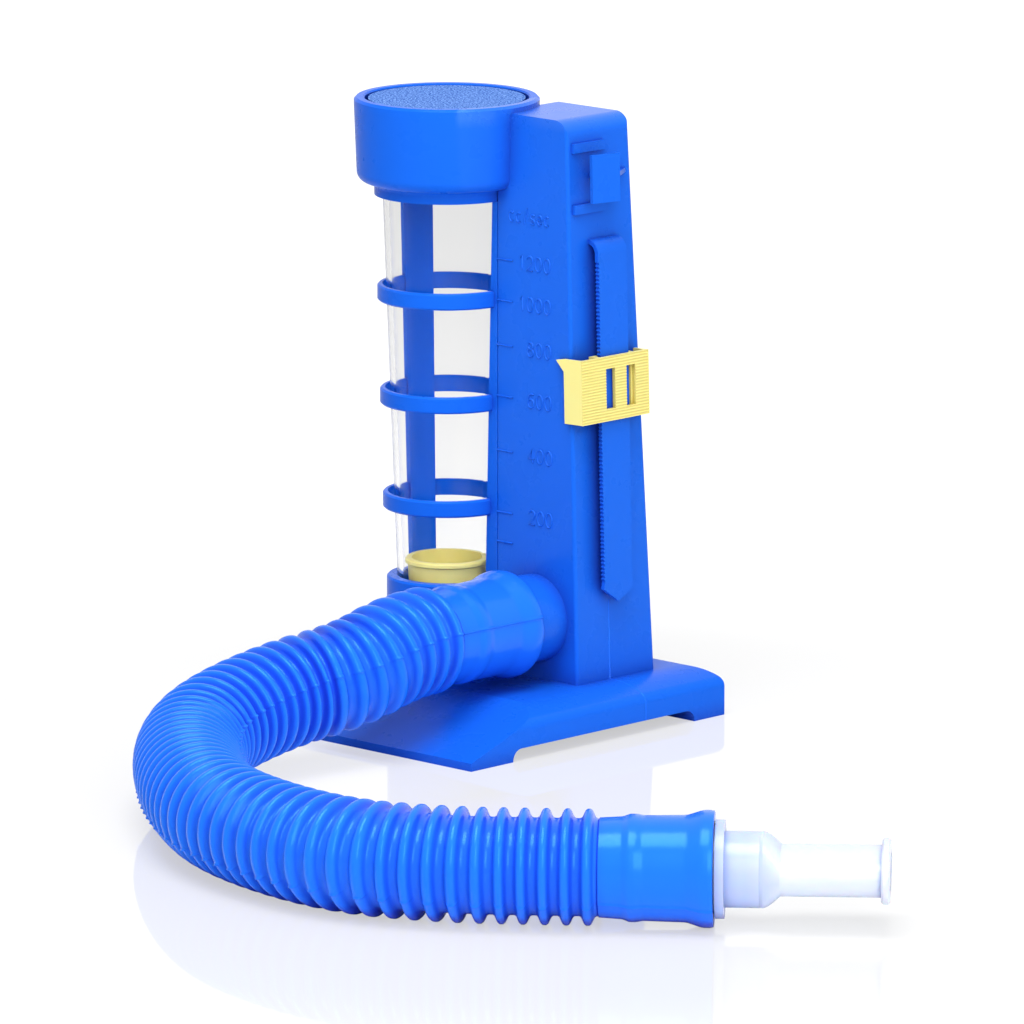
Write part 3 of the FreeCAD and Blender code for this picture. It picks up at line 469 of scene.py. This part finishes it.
# A cuff of the hose, from its lip: outer corners as (along, radius), the bore, and rounding.
cuff = {
    "outer": [
        (0.0, 0.01445), (0.0003, 0.01475), (0.0028, 0.01475), (0.0068, 0.01345), (0.0181, 0.0132),
        (0.0190, 0.01355), (0.0215, 0.01355), (0.0224, 0.0129), (0.0287, 0.0125),
    ],
    "bore": [(0.0287, 0.0106), (0.0146, 0.0106), (0.0146, 0.01105), (0.0, 0.01105)],
    "rows": 116,
    "softness": 3,
    "near": (0.01543, -0.00632, 0.02969),
    "nearWay": (0.0, -1.0, 0.0),
    "far": (0.210764, -0.133991, 0.01475),
    "farWay": (0.760406, 0.649448, 0.0),
}


# The outer profile at even steps, its bends rounded by a running average of the radius.
def cuffProfile():
    corners = np.array(cuff["outer"])
    along = np.linspace(corners[0, 0], corners[-1, 0], cuff["rows"])
    radius = np.interp(along, corners[:, 0], corners[:, 1])
    reach = cuff["softness"]
    padded = np.concatenate([np.full(reach, radius[0]), radius, np.full(reach, radius[-1])])
    soft = np.convolve(padded, np.ones(2 * reach + 1) / (2 * reach + 1), mode="valid")
    return along, soft


def buildCuff(name, node, lip, way, inward, seam):
    along, radius = cuffProfile()
    bore = np.array(cuff["bore"])
    along = np.concatenate([along, bore[:, 0]])
    radius = np.concatenate([radius, bore[:, 1]])
    way = np.array(way)
    centres = np.array(lip) + inward * along[:, None] * way
    ways = np.repeat(way[None, :], len(along), axis=0)
    angles = seamedAngles()
    ring = ringsRound(ways, np.repeat(angles[None, :] + seam, len(along), axis=0))
    ridge = np.zeros((len(along), len(angles)))
    ridge[:cuff["rows"]] = seamRise(angles, cuff["outer"][0][1])
    points = centres[:, None, :] + ring * (radius[:, None] + ridge)[:, :, None]
    obj = link(bpy.data.objects.new(name, gridMesh(name, points, closedAlong=True)))
    dress(obj, "hose_blue")
    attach(obj, "housing")
    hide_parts(node)
    return obj


def buildHose():
    buildCuff("nearCuff", "port_cuff", cuff["near"], cuff["nearWay"], 1, hose["seamStart"])
    farCuff = buildCuff(
        "farCuff", "mouthpiece_cuff", cuff["far"], cuff["farWay"], -1, hose["seamEnd"])
    path = hosePath(hoseRoute)
    steps = np.array(hose["steps"])
    turns = (np.arange(hose["corrugations"])[:, None] + steps[None, :]).reshape(-1)
    turns = np.append(turns, hose["corrugations"])
    rows = len(turns)
    centres, ways, length = placesAlong(path, turns / hose["corrugations"])
    # Each corrugation is a rib: the radius falls from crest to valley by a steep bell curve of
    # the distance from the rib's middle, so valleys are flat and ribs are round.
    off = np.abs(turns % 1.0 - 0.5)
    share = np.exp(-((off / hose["ribWidth"]) ** hose["ribPower"]))
    radius = hose["valley"] + (hose["crest"] - hose["valley"]) * share
    seam = np.linspace(hose["seamStart"], hose["seamEnd"], rows)
    angles = seamedAngles()
    ring = ringsRound(ways, angles[None, :] + seam[:, None])
    ridge = seamRise(angles, hose["crest"])[None, :] * share[:, None]
    outer = centres[:, None, :] + ring * (radius[:, None] + ridge)[:, :, None]
    inside = np.append(np.arange(0, rows - 1, hose["innerStep"]), rows - 1)
    inner = centres[inside, None, :] + ring[inside] * (radius[inside] - hose["wall"])[:, None, None]
    points = np.concatenate([outer, inner[::-1]], axis=0)
    tube = link(bpy.data.objects.new("hoseTube", gridMesh("hoseTube", points, closedAlong=True)))
    dress(tube, "hose_blue")
    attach(tube, "housing")
    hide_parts("corrugated_hose")
    print(f"hose {length:.4f} m, {len(tube.data.polygons)} faces")


buildHose()

# The flow scale on the tower's front: the face's place, the heights of its marks, and the type.
scale = {
    "face": 0.00545,
    "rise": 0.00032,
    "sink": 0.00004,
    "stroke": 0.00056,
    "columns": 7,
    "markStart": 0.0010,
    "markEnd": 0.0070,
    "labelRight": 0.0224,
    "lean": 0.0120,
    "height": 0.0039,
    "width": 0.00225,
    "pitch": 0.00322,
    "marks": {
        "1200": 0.1270, "1000": 0.1157, "800": 0.1034, "600": 0.0893, "400": 0.0742, "200": 0.0571,
        "": 0.0489,
    },
    "unit": "cc/sec",
    "unitHeight": 0.1398,
    "unitRight": 0.0206,
    "unitPitch": 0.00262,
    "unitWidth": 0.0019,
}


# Part of an oval in a glyph's unit box, its angles in degrees from the right.
def bow(across, up, wide, high, start, end, count=20):
    turn = np.radians(np.linspace(start, end, count))
    return [(across + wide * math.cos(t), up + high * math.sin(t)) for t in turn]


# Single-stroke glyphs: each a list of lines through points of the unit box.
glyphs = {
    "0": [bow(0.5, 0.5, 0.5, 0.5, 0, 360, 30)],
    "1": [[(0.42, 0.82), (0.66, 1.0), (0.66, 0.0)]],
    "2": [bow(0.5, 0.71, 0.47, 0.29, 165, -28) + [(0.02, 0.0), (1.0, 0.0)]],
    "4": [[(0.76, 0.0), (0.76, 1.0), (0.0, 0.28), (1.0, 0.28)]],
    "6": [bow(0.5, 0.31, 0.48, 0.31, 180, -180, 26), bow(0.62, 0.40, 0.60, 0.60, 186, 62, 14)],
    "8": [bow(0.5, 0.76, 0.40, 0.24, -90, 270, 24), bow(0.5, 0.27, 0.48, 0.27, 90, 450, 26)],
    "c": [bow(0.5, 0.34, 0.46, 0.34, 48, 312)],
    "e": [[(0.08, 0.36)] + bow(0.5, 0.34, 0.46, 0.34, 3, 312)],
    "s": [bow(0.5, 0.51, 0.38, 0.17, 30, 258, 14) + bow(0.5, 0.17, 0.40, 0.17, 78, -150, 14)],
    "/": [[(0.15, -0.06), (0.85, 1.06)]],
}


# A rounded ridge on the tower's front along a line of (across, up) points.
def ridge(name, line):
    line = np.array(line, dtype=float)
    ways = np.gradient(line, axis=0)
    ways /= np.linalg.norm(ways, axis=1, keepdims=True)
    sideways = np.stack([-ways[:, 1], ways[:, 0]], axis=1)
    columns = []
    # Across the stroke the ridge is half of a cosine wave, its feet a little under the face.
    for share in np.linspace(-1.0, 1.0, scale["columns"]):
        places = line + sideways * share * scale["stroke"] / 2
        rise = scale["rise"] * math.cos(share * math.pi / 2) - scale["sink"]
        level = np.full(len(line), scale["face"] - rise)
        columns.append(np.stack([places[:, 0], level, places[:, 1]], axis=1))
    return gridMesh(name, np.stack(columns, axis=1), closedAround=False)


def label(text, right, middle, width, pitch):
    meshes = []
    left = right - pitch * (len(text) - 1) - width
    foot = middle - scale["height"] / 2
    for place, letter in enumerate(text):
        corner = np.array([left + place * pitch, foot])
        for stroke in glyphs[letter]:
            meshes.append(ridge("stroke", corner + np.array(stroke) * (width, scale["height"])))
    return meshes


# One object from several meshes.
def joined(name, meshes):
    built = bmesh.new()
    for mesh in meshes:
        built.from_mesh(mesh)
        bpy.data.meshes.remove(mesh)
    whole = bpy.data.meshes.new(name)
    built.to_mesh(whole)
    built.free()
    return link(bpy.data.objects.new(name, whole))


def buildScale():
    meshes = []
    for text, height in scale["marks"].items():
        meshes.append(ridge("mark", [(scale["markStart"], height), (scale["markEnd"], height)]))
        right = scale["labelRight"] - scale["lean"] * height
        meshes += label(text, right, height, scale["width"], scale["pitch"])
    width, pitch = scale["unitWidth"], scale["unitPitch"]
    meshes += label(scale["unit"], scale["unitRight"], scale["unitHeight"], width, pitch)
    marks = joined("flowScale", meshes)
    dress(marks, "housing_blue")
    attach(marks, "housing")
    print("flow scale raised")


buildScale()

# The mould's parting line, from under the rail's foot down the tower and over the base's side.
parting = {
    "along": 0.0184,
    "width": 0.0004,
    "rise": 0.00016,
    "sink": 0.00003,
    "largeSteps": 10,
    "smallSteps": 8,
    "railFoot": 0.0349,
    "towerFoot": (0.03127, 0.0129),
    "lean": math.radians(1.607),
    "sideStart": 0.0325,
    "side": 0.0447,
    "sideTop": 0.0079,
    "sideTurn": math.radians(24.0),
    "recess": 0.0033,
}


def buildPartingLine():
    foot, top = parting["towerFoot"]
    over, drop = parting["side"] - parting["sideStart"], top - parting["sideTop"]
    # The base's side is a large arc that leaves the top level, then a small one that ends upright.
    bend = parting["sideTurn"]
    sin, cos = math.sin(bend), math.cos(bend)
    large, small = np.linalg.solve([[sin, 1 - sin], [1 - cos, cos]], [over, drop])
    first = np.linspace(0.0, bend, parting["largeSteps"])
    second = np.linspace(bend, math.pi / 2, parting["smallSteps"])[1:]
    level = np.concatenate([
        parting["sideStart"] + large * np.sin(first),
        parting["side"] - small * (1 - np.sin(second)),
    ])
    height = np.concatenate([
        top - large * (1 - np.cos(first)),
        parting["sideTop"] + small * np.cos(second),
    ])
    arc = np.stack([level, height], axis=1)
    up = parting["railFoot"] - top
    start = np.array([[foot - up * math.tan(parting["lean"]), parting["railFoot"]], [foot, top]])
    line = np.concatenate([start, arc, [[parting["side"], parting["recess"]]]])
    ways = np.gradient(line, axis=0)
    out = np.stack([-ways[:, 1], ways[:, 0]], axis=1)
    out /= np.linalg.norm(out, axis=1, keepdims=True)
    half, sink = parting["width"] / 2, parting["sink"]
    columns = []
    for along, rise in ((-half, -sink), (0.0, parting["rise"]), (half, -sink)):
        places = line + out * rise
        columns.append(np.stack(
            [places[:, 0], np.full(len(line), parting["along"] + along), places[:, 1]], axis=1))
    strip = gridMesh("partingLine", np.stack(columns, axis=1), closedAround=False)
    obj = link(bpy.data.objects.new("partingLine", strip))
    # The ridge takes the lighter, glossier hose blue: a painted highlight along the parting line.
    dress(obj, "housing_blue", materials["hose_blue"])
    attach(obj, "housing")
    print("parting line raised")


buildPartingLine()

# The table: its glow near the object and far from it, and its whiteness as seen and as it bounces.
table = {
    "near": 0.56,
    "far": 0.78,
    "nearReach": 0.20,
    "farReach": 0.36,
    "middle": (0.08, -0.07, 0.0),
    "patches": 6.0,
    "roughness": (0.02, 0.05),
    "seen": 0.25,
    "bounce": 0.92,
    "mirror": 1.16,
    "reach": 3.0,
}


# A pale glossy table that runs off into a white background. The camera sees it with less of its
# own white and more of what it mirrors, near the object; other rays see a plain white table.
def buildStage():
    reach = table["reach"]
    corners = [(-reach, -reach, 0), (reach, -reach, 0), (reach, reach, 0), (-reach, reach, 0)]
    mesh = bpy.data.meshes.new("table")
    mesh.from_pydata(corners, [], [(0, 1, 2, 3)])
    floor = link(bpy.data.objects.new("table", mesh))
    kit = Nodes("tableTop")
    direct = kit.add("LightPath").outputs["Is Camera Ray"]
    seen, bounce = table["seen"], table["bounce"]
    whiteness = kit.mix(direct, tone(bounce, bounce, bounce), tone(seen, seen, seen))
    polish = kit.ramp(kit.noise(table["patches"]), *table["roughness"])
    kit.set(Base_Color=whiteness, Roughness=polish, IOR=table["mirror"])
    apart = kit.add("VectorMath", {0: kit.place, 1: table["middle"]}, operation="DISTANCE")
    glow = kit.span(
        apart.outputs["Value"], table["nearReach"], table["farReach"], table["near"], table["far"],
        interpolation_type="SMOOTHSTEP")
    lift = kit.add("Math", {0: direct, 1: glow}, operation="MULTIPLY")
    kit.join(tone(1.0, 1.0, 1.0), kit.shader.inputs["Emission Color"])
    kit.join(lift.outputs[0], kit.shader.inputs["Emission Strength"])
    mesh.materials.append(kit.material)


# Lamps as place, size and watts; the world's own light between its dim and its bright side.
studio = {
    "brightSide": (0.80, -0.20, 0.56),
    "dim": 0.06,
    "bright": 0.72,
    "aim": (0.06, -0.04, 0.07),
    "lamps": {
        "overhead": ((0.25, -0.35, 1.0), (0.6, 0.6), 9.5),
        "leftSoftbox": ((-0.9, -0.9, 0.5), (0.6, 0.8), 0.3),
        "rightSoftbox": ((1.1, -0.7, 0.6), (0.6, 0.8), 8.0),
    },
}


def areaLamp(name, place, aim, size, power):
    data = bpy.data.lights.new(name, "AREA")
    data.shape = "RECTANGLE"
    data.size, data.size_y = size
    data.energy = power
    lamp = link(bpy.data.objects.new(name, data))
    lamp.location = place
    lamp.rotation_euler = (Vector(aim) - Vector(place)).to_track_quat("-Z", "Y").to_euler()


# A white studio: seen, mirrored or through clear plastic it is plain white; the light it gives is
# weaker from the left and the back than from above and the right.
def buildLight():
    world = bpy.data.worlds.new("studio")
    scene.world = world
    world.use_nodes = True
    tree = world.node_tree
    shade = tree.nodes["Background"]
    rays = tree.nodes.new("ShaderNodeLightPath").outputs
    way = tree.nodes.new("ShaderNodeTexCoord").outputs["Generated"]

    def wired(kind, values, out, **settings):
        node = tree.nodes.new("ShaderNode" + kind)
        for key, value in settings.items():
            setattr(node, key, value)
        for key, value in values.items():
            if isinstance(value, bpy.types.NodeSocket):
                tree.links.new(value, node.inputs[key])
            else:
                node.inputs[key].default_value = value
        return node.outputs[out]

    seen = rays["Is Camera Ray"]
    seen = wired("Math", {0: seen, 1: rays["Is Glossy Ray"]}, 0, operation="MAXIMUM")
    seen = wired("Math", {0: seen, 1: rays["Is Transmission Ray"]}, 0, operation="MAXIMUM")
    sides = {0: way, 1: studio["brightSide"]}
    facing = wired("VectorMath", sides, "Value", operation="DOT_PRODUCT")
    given = wired("MapRange", {
        "Value": facing, "From Min": -1.0, "From Max": 1.0,
        "To Min": studio["dim"], "To Max": studio["bright"]}, "Result")
    level = wired("MapRange", {"Value": seen, "To Min": given, "To Max": 1.0}, "Result")
    tree.links.new(level, shade.inputs["Strength"])
    shade.inputs["Color"].default_value = (1.0, 1.0, 1.0, 1.0)
    for name, (place, size, power) in studio["lamps"].items():
        areaLamp(name, place, studio["aim"], size, power)


def buildCamera():
    turn, rise = math.radians(view["azimuth"]), math.radians(view["elevation"])
    level = math.cos(rise)
    back = Vector((math.sin(turn) * level, -math.cos(turn) * level, math.sin(rise)))
    data = bpy.data.cameras.new("photoView")
    data.lens = view["lens"]
    data.sensor_width = view["sensor"]
    data.clip_end = view["farthest"]
    camera = link(bpy.data.objects.new("photoView", data))
    camera.location = Vector(view["target"]) + back * view["distance"]
    camera.rotation_euler = back.to_track_quat("Z", "Y").to_euler()
    scene.camera = camera


buildStage()
buildLight()
buildCamera()
print("table, light and camera in place")
